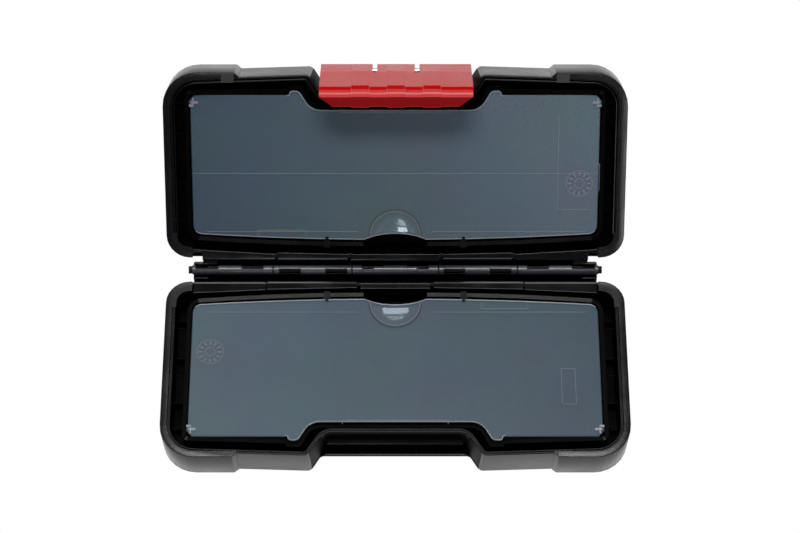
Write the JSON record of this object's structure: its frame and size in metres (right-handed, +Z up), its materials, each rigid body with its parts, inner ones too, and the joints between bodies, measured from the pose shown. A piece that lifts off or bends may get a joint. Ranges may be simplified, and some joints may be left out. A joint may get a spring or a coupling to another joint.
{
  "type": "saw blade storage case",
  "caption": "Flat hinged plastic case for saw blades, open: black trays with end guards, milky inner covers over both trays and a red latch on the lid.",
  "frame": {"origin": "middle of the lower half's flat underside, halfway between the guards' back and front faces", "axes": "+X along the hinge to the right as seen from the latch side, +Y from the latch side to the hinge, +Z up"},
  "size_m": [0.2664, 0.2189, 0.1142],
  "materials": {
    "black_shell": "satin moulded",
    "grey_guard": "fine matt texture",
    "milky_cover": "translucent, faintly frosted",
    "red_latch": "satin moulded",
    "steel_pin": "drawn",
    "black_pin": "smooth"
  },
  "bodies": {
    "base": {"lower_shell": "black_shell", "lower_guard_left": "grey_guard", "lower_guard_right": "grey_guard"},
    "lid": {"upper_shell": "black_shell", "upper_guard_left": "grey_guard", "upper_guard_right": "grey_guard"},
    "lower_cover": {"lower_cover": "milky_cover"},
    "upper_cover": {"upper_cover": "milky_cover"},
    "latch": {"latch": "red_latch"},
    "latch_pin": {"latch_pin": "steel_pin"},
    "hinge_pin_left": {"hinge_pin_left": "black_pin"},
    "hinge_pin_right": {"hinge_pin_right": "black_pin"}
  },
  "joints": [
    {"name": "lid_hinge", "type": "hinge", "parent": "base", "child": "lid", "pos_m": [0, 0.06225, 0.025], "axis": [-1, 0, 0], "range_deg": [-137, 0]},
    {"name": "latch_swing", "type": "hinge", "parent": "lid", "child": "latch", "pos_m": [0, 0.15982, 0.08782], "axis": [-1, 0, 0], "range_deg": [-2.5, 95]},
    {"name": "lower_cover_swing", "type": "hinge", "parent": "base", "child": "lower_cover", "pos_m": [0, -0.03695, 0.0213], "axis": [1, 0, 0], "range_deg": [0, 90]},
    {"name": "upper_cover_swing", "type": "hinge", "parent": "lid", "child": "upper_cover", "pos_m": [0, 0.13732, 0.08995], "axis": [-1, 0, 0], "range_deg": [0, 90]},
    {"name": "hinge_pin_left_turn", "type": "hinge", "parent": "base", "child": "hinge_pin_left", "pos_m": [0, 0.06225, 0.025], "axis": [1, 0, 0], "continuous": true},
    {"name": "hinge_pin_right_turn", "type": "hinge", "parent": "base", "child": "hinge_pin_right", "pos_m": [0, 0.06225, 0.025], "axis": [1, 0, 0], "continuous": true},
    {"name": "latch_pin_turn", "type": "hinge", "parent": "lid", "child": "latch_pin", "pos_m": [0, 0.15982, 0.08782], "axis": [1, 0, 0], "continuous": true}
  ]
}
